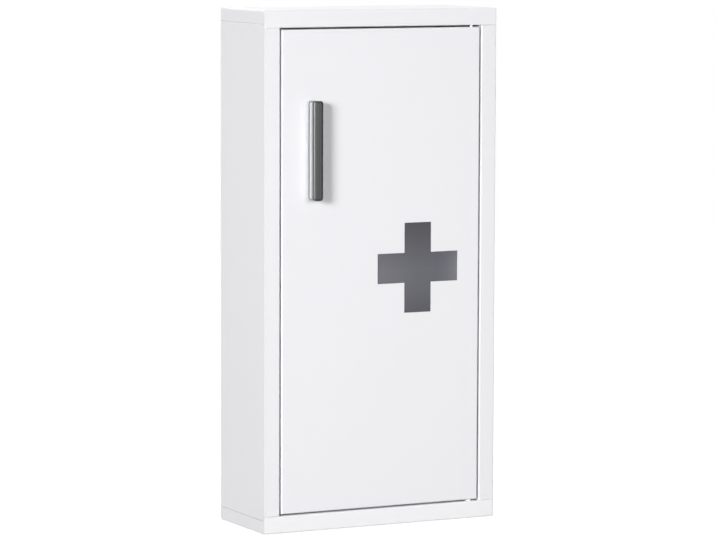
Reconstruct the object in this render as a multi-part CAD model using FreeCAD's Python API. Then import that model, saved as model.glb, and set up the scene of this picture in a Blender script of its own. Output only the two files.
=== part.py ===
import FreeCAD, Part
import math
import os

# A wall medicine cabinet in folded white sheet steel, with one door hung on two pivot pins.
# Sizes are in millimetres. X runs to the right, Y runs to the wall and Z runs up.
# The origin is on the wall plane, in the middle of the four wall holes.

V = FreeCAD.Vector
X = V(1, 0, 0)
Y = V(0, 1, 0)
Z = V(0, 0, 1)
CENTRE = V(0, 0, 0)

# Shell
width = 300.0
height = 600.0
depth = 120.0
shell_sheet = 1.0
shell_bend = 0.6              # inside radius of every fold in the shell
rail_height = 20.0            # front face of the top and bottom caps
stile_width = 20.0            # front face of the side panels
jamb_depth = 18.0             # fold that lines the door opening
stop_width = 12.0             # fold behind the latch jamb, which the door closes against
skirt_height = 15.0           # side and rear walls of the caps
seam_gap = 0.25               # between the edges of a cap and a side panel
joggle_height = 1.2           # height over which a side panel steps in behind a cap
lap_height = 12.0             # how far the stepped tab reaches behind the skirt
rear_flange = 12.0            # fold of a side panel that carries the back

# Back
back_sheet = 1.0
back_margin = 1.5             # from the outline of the shell to the edge of the back
back_corner = 3.0
wall_hole_diameter = 7.0
wall_hole_spacing_x = 200.0
wall_hole_spacing_z = 500.0

# Shelf standards and shelves
standard_sheet = 1.2
standard_web = 14.0
standard_depth = 6.0
standard_foot = 5.0
standard_end_gap = 10.0       # from the door opening's level to the end of a standard
slot_pitch = 50.0
slot_height = 5.0
slot_width = 8.0
slot_end_margin = 12.0
shelf_sheet = 1.0
shelf_bend = 0.6
shelf_front_lip = 13.0
shelf_hem = 6.0
shelf_skirt = 9.0
shelf_side_gap = 1.5
shelf_rear_gap = 3.0
shelf_depth = 92.0
standard_setback = 18.0       # from a shelf's front or rear edge to the middle of a standard
upper_shelf_slot_number = 2   # counted from the slot at mid height
lower_shelf_slot_number = -2

# Shelf clips
clip_sheet = 1.5
clip_width = 7.0
clip_rise = 5.0               # from the middle of a slot to the top of the tongue
clip_tongue = 8.0
clip_tail = 6.0
clip_hook_drop = 3.0
clip_play = 0.2

# Door
door_gap = 2.0
door_sheet = 1.0
door_bend = 0.6
door_depth = 15.0
door_lip = 10.0

# Cross window
cross_size = 105.0
cross_arm = 35.0
cross_margin = 28.0           # from the door's hinge edge to the nearest arm
cross_rise = 0.0              # above the middle of the door
pane_thickness = 3.0
pane_overlap = 9.5            # how far the pane reaches past the arms
pane_corner = 5.0
clamp_sheet = 0.8
clamp_width = 16.0
clamp_foot = 9.0              # spot-welded to the door skin
clamp_finger = 7.0            # lies over the pane
clamp_play = 0.1              # from the pane's edge to a clamp

# Handle
handle_width = 12.0
handle_depth = 15.0
handle_length = 114.0
handle_crown = 1.2            # bulge of the front face
handle_corner = 3.5
handle_edge = 1.0             # bevel round the front face
handle_margin = 34.0          # from the door's latch edge to the handle
handle_drop = 138.0           # from the door's top edge to the middle of the handle
handle_screw_pitch = 96.0
handle_screw_diameter = 4.0
handle_screw_grip = 10.0      # thread held in the handle
screw_play = 0.1
screw_head_diameter = 7.6
screw_head_height = 2.4

# Hinge
pin_diameter = 4.0
pin_setback = 5.5             # from the door's front face to the pivot axis
pin_inset = 9.0               # from the door's hinge edge to the pivot axis
pin_reach = 4.5               # how far a pin stands in its bush
pin_head_diameter = 6.4
pin_head_height = 2.0
pin_play = 0.05
fit_play = 0.02
bush_wall = 0.8
bush_length = 5.0
bush_rim_play = 0.1
thrust_play = 0.1
bracket_sheet = 2.0
bracket_bend = 0.8
bracket_reach = 22.0
bracket_drop = 25.0
bracket_play = 0.1

# Magnetic catch and bumpers
catch_width = 12.0
catch_depth = 14.0
catch_body_height = 34.0
catch_height = 54.0
catch_shelf_gap = 9.0         # from the upper shelf to the body of the catch above it
catch_ear = 2.0
catch_pole_sheet = 1.5
catch_magnet_width = 4.0
catch_magnet_height = 26.0
catch_magnet_setback = 1.0
catch_pocket_floor = 3.0
catch_pocket_play = 0.1
catch_slot_play = 0.5
catch_side_gap = 1.0
catch_air_gap = 0.3
catch_screw_diameter = 3.0
catch_screw_head_diameter = 5.6
catch_screw_head_height = 1.8
catch_screw_tip = 1.5
catch_screw_inset = 5.5
bumper_diameter = 8.0
bumper_edge = 0.6             # bevel round the front of a bumper
bumper_air_gap = 0.2
bumper_end_distance = 35.0    # from the end of the opening to a bumper

# Planes and lines that the pieces share
half_width = width / 2
half_height = height / 2
front_y = -depth
shell_rear_y = -back_sheet
inner_x = half_width - shell_sheet
opening_x = half_width - stile_width
opening_z = half_height - rail_height
jamb_rear_y = front_y + jamb_depth
skirt_z = half_height - skirt_height

door_x = opening_x - door_gap
door_z = opening_z - door_gap
door_rear_y = front_y + door_depth
door_skin_y = front_y + door_sheet
hinge_x = door_x - pin_inset
hinge_y = front_y + pin_setback
pin_radius = pin_diameter / 2
bush_radius = pin_radius + pin_play + bush_wall
bush_flange_radius = pin_setback - shell_sheet - shell_bend - bush_rim_play

cross_x = door_x - cross_margin - cross_size / 2
cross_z = cross_rise
pane_half = cross_size / 2 + pane_overlap
pane_rear_y = door_skin_y + pane_thickness

handle_x = -door_x + handle_margin + handle_width / 2
handle_z = door_z - handle_drop

standard_x = inner_x - standard_depth
standard_half = opening_z - standard_end_gap
shelf_x = standard_x - shelf_side_gap
shelf_rear_y = shell_rear_y - shell_sheet - shelf_rear_gap
shelf_front_y = shelf_rear_y - shelf_depth
standard_lines = (shelf_front_y + standard_setback, shelf_rear_y - standard_setback)
slot_count = int((standard_half - slot_end_margin) / slot_pitch)
slot_levels = [slot_pitch * number for number in range(-slot_count, slot_count + 1)]
shelf_top_rise = clip_rise + shelf_skirt
upper_shelf_level = slot_pitch * upper_shelf_slot_number
lower_shelf_level = slot_pitch * lower_shelf_slot_number

stop_x = -opening_x + stop_width / 2
stop_rear_y = jamb_rear_y + shell_sheet
catch_left_x = -opening_x + catch_side_gap
catch_x = catch_left_x + catch_width / 2
catch_z = upper_shelf_level + shelf_top_rise + catch_shelf_gap + catch_body_height / 2
catch_pole_outer = catch_magnet_width / 2 + catch_pole_sheet
bumper_z = opening_z - bumper_end_distance


# Basic shapes

def box(x0, x1, y0, y1, z0, z1):
    """A block between two corners."""
    return Part.makeBox(x1 - x0, y1 - y0, z1 - z0, V(x0, y0, z0))


def rod(radius, start, axis, length):
    """A round bar from a point along an axis."""
    return Part.makeCylinder(radius, length, start, axis)


def rounded_plate(half, corner, y0, y1, centre):
    """A square plate facing the front, with its four corners rounded."""
    plate = box(centre.x - half, centre.x + half, y0, y1, centre.z - half, centre.z + half)
    corners = [edge for edge in plate.Edges if abs(edge.tangentAt(edge.FirstParameter).y) > 0.9]
    return plate.makeFillet(corner, corners)


def cross_block(size, arm, y0, y1):
    """A cross-shaped block of four equal arms about the window's middle."""
    half = size / 2
    half_arm = arm / 2
    upright = box(cross_x - half_arm, cross_x + half_arm, y0, y1, cross_z - half, cross_z + half)
    level = box(cross_x - half, cross_x + half, y0, y1, cross_z - half_arm, cross_z + half_arm)
    return upright.fuse(level).removeSplitter()


def mirrored_x(shape):
    return shape.mirror(CENTRE, X)


def mirrored_z(shape):
    return shape.mirror(CENTRE, Z)


# Folded sheet

def folded_section(corners, normal, sheet, inside_radius):
    """Closed section of a sheet folded along a line of corner points.

    The corners lie on the sheet's outer skin and the sheet lies on the left of the line,
    seen from the tip of the normal. Each fold is a pair of arcs about one centre, so the
    sheet keeps its thickness all the way round the bend.
    """
    ways = [(b - a).normalize() for a, b in zip(corners, corners[1:])]
    lefts = [normal.cross(way) for way in ways]
    skin = [(corners[0], None, corners[0])]
    back = [(corners[0] + lefts[0] * sheet, None, corners[0] + lefts[0] * sheet)]
    for index in range(1, len(corners) - 1):
        way_in, way_out = ways[index - 1], ways[index]
        left_in, left_out = lefts[index - 1], lefts[index]
        turns_left = way_in.cross(way_out).dot(normal) > 0
        skin_radius = inside_radius + sheet if turns_left else inside_radius
        back_radius = inside_radius if turns_left else inside_radius + sheet
        trim = skin_radius * math.tan(way_in.getAngle(way_out) / 2)
        start = corners[index] - way_in * trim
        end = corners[index] + way_out * trim
        middle = start + left_in * (skin_radius if turns_left else -skin_radius)
        outward = (corners[index] - middle).normalize()
        skin.append((start, middle + outward * skin_radius, end))
        back.append((start + left_in * sheet, middle + outward * back_radius, end + left_out * sheet))
    last = corners[-1]
    skin.append((last, None, last))
    back.append((last + lefts[-1] * sheet, None, last + lefts[-1] * sheet))

    edges = edges_along(skin) + edges_along(back)
    edges.append(Part.makeLine(skin[0][0], back[0][0]))
    edges.append(Part.makeLine(skin[-1][2], back[-1][2]))
    return Part.Face(Part.Wire(Part.__sortEdges__(edges)))


def edges_along(stations):
    """Straight edges between the stations, and an arc at each one that bends."""
    edges = []
    for before, after in zip(stations, stations[1:]):
        edges.append(Part.makeLine(before[2], after[0]))
        if after[1] is not None:
            edges.append(Part.Arc(after[0], after[1], after[2]).toShape())
    return edges


def tray(x0, x1, y0, y1, z0, z1, open_axis, open_sign, sheet, inside_radius, round_corners):
    """A box of sheet with one open side: four folds, and corners welded sharp or ground round."""
    lows = [x0, y0, z0]
    highs = [x1, y1, z1]
    outer = folded_box(lows, highs, open_axis, open_sign, inside_radius + sheet, round_corners)
    inner_lows = [value + sheet for value in lows]
    inner_highs = [value - sheet for value in highs]
    if open_sign > 0:
        inner_highs[open_axis] = highs[open_axis] + sheet
    else:
        inner_lows[open_axis] = lows[open_axis] - sheet
    inner = folded_box(inner_lows, inner_highs, open_axis, open_sign, inside_radius, False)
    return outer.cut(inner)


def folded_box(lows, highs, open_axis, open_sign, radius, round_corners):
    """A block with rounded edges round its closed side, and along its corners if asked."""
    block = box(lows[0], highs[0], lows[1], highs[1], lows[2], highs[2])
    level = highs[open_axis] if open_sign > 0 else lows[open_axis]
    folds = []
    for edge in block.Edges:
        steps = [abs(vertex.Point[open_axis] - level) for vertex in edge.Vertexes]
        if min(steps) > radius or (round_corners and max(steps) > radius):
            folds.append(edge)
    return block.makeFillet(radius, folds)


def skirted_tray(half_x, y0, y1, top, front, skirt, hem, hem_half, sheet, inside_radius, round_corners):
    """A tray open below, with a deep front wall, a shallower skirt and a hem turned back.

    The front wall is folded back under itself by the hem, over the hem's own width.
    """
    low = top - front
    shape = tray(-half_x, half_x, y0, y1, low, top, 2, -1, sheet, inside_radius, round_corners)
    shape = shape.cut(box(-half_x, half_x, y0 + sheet, y1, low, top - skirt))
    fold_top = low + 2 * (sheet + inside_radius)
    shape = shape.cut(box(-hem_half, hem_half, y0, y0 + sheet, low, fold_top))
    fold = folded_section(
        [V(-hem_half, y0 + hem, low), V(-hem_half, y0, low), V(-hem_half, y0, fold_top)],
        -X, sheet, inside_radius)
    return shape.fuse(fold.extrude(X * (2 * hem_half))).removeSplitter()


# Shell

def top_cap():
    """Top tray: skirt over the side panels, front rail, and jamb fold with the hinge hole."""
    cap = skirted_tray(half_width, front_y, shell_rear_y, half_height, rail_height, skirt_height,
                       jamb_depth, opening_x + shell_sheet, shell_sheet, shell_bend, True)
    hole = rod(bush_radius + fit_play, V(hinge_x, hinge_y, opening_z - shell_sheet), Z, 3 * shell_sheet)
    return cap.cut(hole)


def side_panel(stops_door):
    """Left side panel: rear flange, side wall, stile and jamb in one folded sheet.

    The wall steps in behind the skirts of both caps, so that its outside lies flush with them.
    """
    line = [V(rear_flange - half_width, shell_rear_y, 0), V(-half_width, shell_rear_y, 0),
            V(-half_width, front_y, 0), V(-opening_x, front_y, 0), V(-opening_x, jamb_rear_y, 0)]
    if stops_door:
        line.append(V(stop_width - opening_x, jamb_rear_y, 0))
    section = folded_section(line, Z, shell_sheet, shell_bend)
    panel_top = skirt_z - seam_gap
    panel = section.extrude(Z * (2 * panel_top))
    panel.translate(V(0, 0, -panel_top))

    stile_top = opening_z - seam_gap
    face_cut = box(-half_width, stop_width - opening_x, front_y, front_y + shell_sheet + seam_gap,
                   stile_top, panel_top)
    jamb_cut = box(-inner_x, stop_width - opening_x, front_y, stop_rear_y, stile_top, panel_top)
    for cut in (face_cut, jamb_cut):
        panel = panel.cut(cut).cut(mirrored_z(cut))

    step_x = shell_sheet - half_width
    tab_top = skirt_z + lap_height
    step_low = panel_top - joggle_height
    upper = [V(-half_width, 0, step_low), V(step_x, 0, panel_top), V(step_x, 0, tab_top)]
    lower = [V(point.x, 0, -point.z) for point in reversed(upper)]
    wall = folded_section(lower + upper, Y, shell_sheet, shell_bend)
    wall_front = front_y + shell_sheet + shell_bend + seam_gap
    wall_rear = shell_rear_y - shell_sheet - shell_bend - seam_gap
    wall.translate(V(0, wall_front, 0))
    wall = wall.extrude(Y * (wall_rear - wall_front))
    trim = box(-half_width, -inner_x, wall_front, wall_rear, step_low, panel_top)
    panel = panel.cut(trim).cut(mirrored_z(trim))
    return panel.fuse(wall).removeSplitter()


def latch_side_panel():
    """Left panel, with the catch's slot and screw holes in its stop."""
    panel = side_panel(True)
    through = 3 * shell_sheet
    start_y = jamb_rear_y - shell_sheet
    slot_half_x = catch_pole_outer + catch_slot_play
    slot_half_z = catch_magnet_height / 2 + catch_slot_play
    panel = panel.cut(box(catch_x - slot_half_x, catch_x + slot_half_x, start_y, start_y + through,
                          catch_z - slot_half_z, catch_z + slot_half_z))
    for z in catch_screw_levels():
        panel = panel.cut(rod(catch_screw_diameter / 2 + screw_play, V(catch_x, start_y, z), Y, through))
    return panel


def back_panel():
    """Flat back with the four wall holes, lying over the rear flanges of the shell."""
    x = half_width - back_margin
    z = half_height - back_margin
    panel = box(-x, x, shell_rear_y, 0, -z, z)
    corners = [edge for edge in panel.Edges if abs(edge.tangentAt(edge.FirstParameter).y) > 0.9]
    panel = panel.makeChamfer(back_corner, corners)
    for side in (-1, 1):
        for level in (-1, 1):
            place = V(side * wall_hole_spacing_x / 2, -2 * back_sheet, level * wall_hole_spacing_z / 2)
            panel = panel.cut(rod(wall_hole_diameter / 2, place, Y, 3 * back_sheet))
    return panel


# Shelves

def shelf_standard(line_y):
    """Slotted hat strip on the left wall: two feet, two legs and a web with hook slots."""
    wall_x = -inner_x
    foot_x = wall_x + standard_sheet
    web_x = -standard_x
    half_web = standard_web / 2
    half_strip = half_web + standard_foot
    half_hollow = half_web - standard_sheet
    near_half = [(web_x - standard_sheet, half_hollow), (wall_x, half_hollow), (wall_x, half_strip),
                 (foot_x, half_strip), (foot_x, half_web), (web_x, half_web)]
    far_half = [(x, -across) for x, across in reversed(near_half)]
    points = [V(x, line_y + across, -standard_half) for x, across in near_half + far_half]
    strip = Part.Face(Part.makePolygon(points + points[:1])).extrude(Z * (2 * standard_half))
    slots = [box(web_x - 2 * standard_sheet, web_x + standard_sheet,
                 line_y - slot_width / 2, line_y + slot_width / 2,
                 level - slot_height / 2, level + slot_height / 2) for level in slot_levels]
    return strip.cut(Part.makeCompound(slots))


def shelf(slot_level):
    """Tray shelf with a hemmed front lip, resting by its side skirts on clips in the slots at a level."""
    top = slot_level + shelf_top_rise
    return skirted_tray(shelf_x, shelf_front_y, shelf_rear_y, top, shelf_front_lip, shelf_skirt,
                        shelf_hem, shelf_x - shelf_hem, shelf_sheet, shelf_bend, False)


def shelf_clip(line_y, level):
    """Bent clip on the left: a hook in the slot, a tail on the web and a tongue for the shelf."""
    hook_near = -standard_sheet - clip_play
    hook_far = hook_near - clip_sheet
    slot_low = -slot_height / 2
    neck_top = slot_low + clip_sheet + clip_rise / 2
    outline = [(0, clip_rise), (clip_tongue, clip_rise), (clip_tongue, clip_rise - clip_sheet),
               (clip_sheet, clip_rise - clip_sheet), (clip_sheet, -clip_tail), (0, -clip_tail),
               (0, slot_low), (hook_near, slot_low), (hook_near, slot_low - clip_hook_drop),
               (hook_far, slot_low - clip_hook_drop), (hook_far, neck_top), (0, neck_top)]
    start_y = line_y - clip_width / 2
    points = [V(-standard_x + out, start_y, level + up) for out, up in outline]
    return Part.Face(Part.makePolygon(points + points[:1])).extrude(Y * clip_width)


def shelf_clips(slot_level):
    """The four clips that carry one shelf."""
    left = [shelf_clip(line_y, slot_level) for line_y in standard_lines]
    return Part.makeCompound(left + [mirrored_x(clip) for clip in left])


# Door

def door_pan():
    """Door skin with four folded edges and inward lips, the cross window and its holes."""
    pan = tray(-door_x, door_x, front_y, door_rear_y, -door_z, door_z, 1, 1, door_sheet, door_bend, False)
    lip_front = door_rear_y - door_sheet
    lips = box(door_sheet - door_x, door_x - door_sheet, lip_front, door_rear_y,
               door_sheet - door_z, door_z - door_sheet)
    lips = lips.cut(box(door_lip - door_x, door_x - door_lip, lip_front, door_rear_y,
                        door_lip - door_z, door_z - door_lip))
    pan = pan.fuse(lips).removeSplitter()
    rim = [edge for edge in pan.Edges if on_door_rim(edge)]
    pan = pan.makeFillet(door_bend + door_sheet, rim)

    pan = pan.cut(cross_block(cross_size, cross_arm, front_y - door_sheet, door_skin_y + door_sheet))
    for z in handle_screw_levels():
        place = V(handle_x, front_y - door_sheet, z)
        pan = pan.cut(rod(handle_screw_diameter / 2 + screw_play, place, Y, 3 * door_sheet))
    pin_hole = rod(pin_radius + fit_play, V(hinge_x, hinge_y, door_z - 2 * door_sheet), Z, 3 * door_sheet)
    return pan.cut(pin_hole).cut(mirrored_z(pin_hole))


def on_door_rim(edge):
    """Whether an edge runs round the outside of the door's rear lips."""
    wall = 2 * door_sheet
    for vertex in edge.Vertexes:
        at_rear = abs(vertex.Point.y - door_rear_y) < door_sheet / 10
        at_outline = abs(vertex.Point.x) > door_x - wall or abs(vertex.Point.z) > door_z - wall
        if not (at_rear and at_outline):
            return False
    return True


def cross_pane():
    """Frosted glass behind the cross, a plain square plate."""
    return rounded_plate(pane_half, pane_corner, door_skin_y, pane_rear_y, V(cross_x, 0, cross_z))


def pane_clamps():
    """Four bent clamps, each with a foot on the door skin and a finger over an edge of the pane."""
    near = pane_half + clamp_play
    foot_rear_y = door_skin_y + clamp_sheet
    finger_rear_y = pane_rear_y + clamp_sheet
    outline = [(near + clamp_foot, door_skin_y), (near + clamp_foot, foot_rear_y),
               (near + clamp_sheet, foot_rear_y), (near + clamp_sheet, finger_rear_y),
               (near - clamp_finger, finger_rear_y), (near - clamp_finger, pane_rear_y),
               (near, pane_rear_y), (near, door_skin_y)]
    points = [V(out, y, -clamp_width / 2) for out, y in outline]
    clamps = []
    for quarter in range(4):
        clamp = Part.Face(Part.makePolygon(points + points[:1])).extrude(Z * clamp_width)
        clamp.rotate(CENTRE, Y, 90 * quarter)
        clamp.translate(V(cross_x, 0, cross_z))
        clamps.append(clamp)
    return Part.makeCompound(clamps)


# Handle

def handle_screw_levels():
    return (handle_z - handle_screw_pitch / 2, handle_z + handle_screw_pitch / 2)


def door_handle():
    """Solid bar with a crowned front, rounded corners and softened edges."""
    half = handle_width / 2
    shoulder_y = front_y - handle_depth + handle_crown
    low = handle_z - handle_length / 2
    left_base = V(handle_x - half, front_y, low)
    right_base = V(handle_x + half, front_y, low)
    left_shoulder = V(handle_x - half, shoulder_y, low)
    right_shoulder = V(handle_x + half, shoulder_y, low)
    crown = V(handle_x, front_y - handle_depth, low)
    edges = [Part.makeLine(left_base, left_shoulder),
             Part.Arc(left_shoulder, crown, right_shoulder).toShape(),
             Part.makeLine(right_shoulder, right_base),
             Part.makeLine(right_base, left_base)]
    bar = Part.Face(Part.Wire(edges)).extrude(Z * handle_length)
    corners = [edge for edge in bar.Edges if abs(edge.tangentAt(edge.FirstParameter).y) > 0.99]
    bar = bar.makeFillet(handle_corner, corners)
    front = [edge for edge in bar.Edges if edge.BoundBox.YMax < shoulder_y + handle_edge]
    bar = bar.makeChamfer(handle_edge, front)
    for z in handle_screw_levels():
        hole = rod(handle_screw_diameter / 2 + fit_play, V(handle_x, front_y, z), -Y,
                   handle_screw_grip + screw_head_height / 2)
        bar = bar.cut(hole)
    return bar


def screw(tip, head_seat, diameter, head_diameter, head_height):
    """Screw along Y: a shank from the tip to the seat, and a round head behind it."""
    shank = rod(diameter / 2, tip, Y, head_seat - tip.y)
    head = rod(head_diameter / 2, V(tip.x, head_seat, tip.z), Y, head_height)
    return shank.fuse(head).removeSplitter()


def handle_screws():
    """Two screws from inside the door into the handle."""
    return Part.makeCompound([
        screw(V(handle_x, front_y - handle_screw_grip, z), door_skin_y, handle_screw_diameter,
              screw_head_diameter, screw_head_height) for z in handle_screw_levels()])


# Hinge

def hinge_bracket():
    """Upper corner bracket inside the door, which holds the pivot pin square."""
    top = door_z - door_sheet
    side = door_x - door_sheet
    y0 = door_skin_y + door_bend + bracket_play
    y1 = door_rear_y - door_sheet - door_bend - bracket_play
    corners = [V(side, y0, top - bracket_drop), V(side, y0, top), V(side - bracket_reach, y0, top)]
    plate = folded_section(corners, -Y, bracket_sheet, bracket_bend).extrude(Y * (y1 - y0))
    hole = rod(pin_radius + fit_play, V(hinge_x, hinge_y, top - 2 * bracket_sheet), Z, 3 * bracket_sheet)
    return plate.cut(hole)


def hinge_pin():
    """Upper pivot pin: a head under the bracket and a shank up into the bush."""
    seat = door_z - door_sheet - bracket_sheet
    tip = opening_z + pin_reach
    head_radius = pin_head_diameter / 2
    outline = [V(0, 0, seat - pin_head_height), V(head_radius, 0, seat - pin_head_height),
               V(head_radius, 0, seat), V(pin_radius, 0, seat), V(pin_radius, 0, tip), V(0, 0, tip)]
    return turned(outline, V(hinge_x, hinge_y, 0), Z)


def turned(outline, place, axis):
    """A turned piece: the outline swept once round the axis and moved to its place."""
    shape = Part.Face(Part.makePolygon(outline + outline[:1])).revolve(CENTRE, axis, 360)
    shape.translate(place)
    return shape


def bush(end, seat, flange_end):
    """Nylon bush: a sleeve from its end to the seat, and a wider flange from the seat on."""
    sleeve = rod(bush_radius, V(hinge_x, hinge_y, min(end, seat)), Z, abs(end - seat))
    flange = rod(bush_flange_radius, V(hinge_x, hinge_y, min(seat, flange_end)), Z, abs(seat - flange_end))
    low = min(end, flange_end)
    bore = rod(pin_radius + pin_play, V(hinge_x, hinge_y, low), Z, abs(end - flange_end))
    return sleeve.fuse(flange).cut(bore).removeSplitter()


def upper_hinge_bush():
    """Bush pushed down into the top jamb, with its flange standing above the sheet."""
    return bush(opening_z, opening_z + shell_sheet, opening_z + bush_length)


def lower_hinge_bush():
    """Bush pushed down into the bottom jamb, with its flange in the gap to carry the door."""
    return bush(-opening_z - bush_length, -opening_z, -door_z - thrust_play)


# Catch and bumpers

def catch_screw_levels():
    reach = catch_height / 2 - catch_screw_inset
    return (catch_z - reach, catch_z + reach)


def catch_housing():
    """Moulded housing behind the stop: a body with a pocket, and an ear at each end."""
    right_x = catch_left_x + catch_width
    ears = box(catch_left_x, right_x, stop_rear_y, stop_rear_y + catch_ear,
               catch_z - catch_height / 2, catch_z + catch_height / 2)
    body = box(catch_left_x, right_x, stop_rear_y, stop_rear_y + catch_depth,
               catch_z - catch_body_height / 2, catch_z + catch_body_height / 2)
    rear = [edge for edge in body.Edges if edge.BoundBox.YMin > stop_rear_y + catch_depth / 2]
    housing = body.makeChamfer(catch_ear / 2, rear).fuse(ears).removeSplitter()
    pocket_x = catch_pole_outer + catch_pocket_play
    pocket_z = catch_magnet_height / 2 + catch_pocket_play
    housing = housing.cut(box(catch_x - pocket_x, catch_x + pocket_x,
                              stop_rear_y, stop_rear_y + catch_depth - catch_pocket_floor,
                              catch_z - pocket_z, catch_z + pocket_z))
    for z in catch_screw_levels():
        place = V(catch_x, stop_rear_y, z)
        housing = housing.cut(rod(catch_screw_diameter / 2 + screw_play, place, Y, catch_ear))
    return housing


def catch_stack(low_x, high_x, setback):
    """One layer of the magnet stack, from just behind the door's lip to the pocket's floor."""
    front = door_rear_y + catch_air_gap + setback
    rear = stop_rear_y + catch_depth - catch_pocket_floor
    half = catch_magnet_height / 2
    return box(low_x, high_x, front, rear, catch_z - half, catch_z + half)


def catch_magnet():
    half = catch_magnet_width / 2
    return catch_stack(catch_x - half, catch_x + half, catch_magnet_setback)


def catch_pole_plates():
    """The two steel plates that carry the magnet's pull to the door's lip."""
    half = catch_magnet_width / 2
    left = catch_stack(catch_x - catch_pole_outer, catch_x - half, 0)
    right = catch_stack(catch_x + half, catch_x + catch_pole_outer, 0)
    return Part.makeCompound([left, right])


def catch_screws():
    """Two screws through the housing's ears into the stop."""
    seat = stop_rear_y + catch_ear
    return Part.makeCompound([
        screw(V(catch_x, jamb_rear_y - catch_screw_tip, z), seat, catch_screw_diameter,
              catch_screw_head_diameter, catch_screw_head_height) for z in catch_screw_levels()])


def door_bumpers():
    """Two round rubber buffers stuck on the stop, with a bevelled front."""
    radius = bumper_diameter / 2
    face = door_rear_y + bumper_air_gap
    outline = [V(0, face, 0), V(radius - bumper_edge, face, 0), V(radius, face + bumper_edge, 0),
               V(radius, jamb_rear_y, 0), V(0, jamb_rear_y, 0)]
    return Part.makeCompound([turned(outline, V(stop_x, 0, z), Y) for z in (bumper_z, -bumper_z)])


# Export

def pieces():
    """Every sub-part by its node name."""
    cap = top_cap()
    bracket = hinge_bracket()
    pin = hinge_pin()
    front_standard, rear_standard = [shelf_standard(line_y) for line_y in standard_lines]
    return {
        "top_cap": cap,
        "bottom_cap": mirrored_z(cap),
        "side_panel_left": latch_side_panel(),
        "side_panel_right": mirrored_x(side_panel(False)),
        "back_panel": back_panel(),
        "shelf_standard_left_front": front_standard,
        "shelf_standard_left_rear": rear_standard,
        "shelf_standard_right_front": mirrored_x(front_standard),
        "shelf_standard_right_rear": mirrored_x(rear_standard),
        "upper_shelf": shelf(upper_shelf_level),
        "lower_shelf": shelf(lower_shelf_level),
        "upper_shelf_clips": shelf_clips(upper_shelf_level),
        "lower_shelf_clips": shelf_clips(lower_shelf_level),
        "upper_hinge_bush": upper_hinge_bush(),
        "lower_hinge_bush": lower_hinge_bush(),
        "catch_housing": catch_housing(),
        "catch_magnet": catch_magnet(),
        "catch_pole_plates": catch_pole_plates(),
        "catch_screws": catch_screws(),
        "door_bumpers": door_bumpers(),
        "door_pan": door_pan(),
        "cross_pane": cross_pane(),
        "pane_clamps": pane_clamps(),
        "door_handle": door_handle(),
        "handle_screws": handle_screws(),
        "upper_hinge_bracket": bracket,
        "lower_hinge_bracket": mirrored_z(bracket),
        "upper_hinge_pin": pin,
        "lower_hinge_pin": mirrored_z(pin),
    }


def main():
    os.makedirs("parts", exist_ok=True)
    for name, shape in pieces().items():
        shape.exportStep("parts/" + name + ".step")
        state = "valid" if shape.isValid() else "NOT VALID"
        print(name, len(shape.Solids), "solids", round(shape.Volume), "mm3", state)


main()
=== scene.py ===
# %% [markdown]
# # A wall medicine cabinet
# The cabinet is folded from sheet steel and powder-coated white. A flush door hangs on two
# pivot pins at its right edge. It has a metal bar handle at the upper left and a cross-shaped
# window of frosted grey glass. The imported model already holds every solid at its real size, so
# this lesson loads it as a fixed frame and adds finishes, finer surfaces, light and a camera.

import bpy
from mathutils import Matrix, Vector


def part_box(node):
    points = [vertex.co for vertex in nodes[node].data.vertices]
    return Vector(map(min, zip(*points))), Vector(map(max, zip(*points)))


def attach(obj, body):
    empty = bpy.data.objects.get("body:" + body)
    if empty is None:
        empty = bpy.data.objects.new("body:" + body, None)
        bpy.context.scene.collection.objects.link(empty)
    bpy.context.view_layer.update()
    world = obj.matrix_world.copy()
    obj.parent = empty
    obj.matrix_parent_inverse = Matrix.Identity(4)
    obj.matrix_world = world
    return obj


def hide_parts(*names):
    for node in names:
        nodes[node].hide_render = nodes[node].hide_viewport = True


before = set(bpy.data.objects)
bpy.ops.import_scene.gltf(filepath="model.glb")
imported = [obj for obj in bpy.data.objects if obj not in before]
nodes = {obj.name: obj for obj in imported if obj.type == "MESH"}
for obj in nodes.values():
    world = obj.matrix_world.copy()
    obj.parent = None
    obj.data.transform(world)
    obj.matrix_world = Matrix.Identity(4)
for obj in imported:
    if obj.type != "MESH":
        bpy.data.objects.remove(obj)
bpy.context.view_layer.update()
print("packed nodes:", len(nodes))

# %% Libraries and the unit of length
import math

import bmesh
import bpy
import numpy as np
from mathutils import Euler, Matrix, Vector

MM = 0.001

# %% [markdown]
# ## The camera
# A long lens from far away keeps the cabinet's edges almost parallel. The camera stands to the
# left of the cabinet and a little above its middle. Its place and angles come from fitting the
# cabinet's own corners, so no shift is needed and the cabinet keeps its real size.

# %% Camera
camera_place = Vector((-1.9508, -3.9053, 0.4341))
camera_yaw = math.radians(26.900)
camera_pitch = math.radians(-5.837)
camera_roll = math.radians(0.191)

camera_data = bpy.data.cameras.new("photo_camera")
camera_data.sensor_width = 36.0
camera_data.lens = 186.10
camera = bpy.data.objects.new("photo_camera", camera_data)
bpy.context.scene.collection.objects.link(camera)
aim = Euler((math.pi / 2 + camera_pitch, 0, -camera_yaw)).to_matrix() @ Matrix.Rotation(camera_roll, 3, "Z")
camera.location = camera_place
camera.rotation_euler = aim.to_euler()
bpy.context.scene.camera = camera
print("camera lens in mm:", camera_data.lens)

# %% [markdown]
# ## Making materials
# Every finish here is a small tree of nodes that reads a piece's own coordinates, so a pattern
# stays on the piece when the door turns. Two helpers keep the trees short: one makes a material
# and its main shader, the other adds a node with its settings.

# %% Helpers for node trees
def new_finish(name):
    """A material with its node tree emptied down to the main shader."""
    finish = bpy.data.materials.new(name)
    finish.use_nodes = True
    return finish, finish.node_tree, finish.node_tree.nodes["Principled BSDF"]


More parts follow.
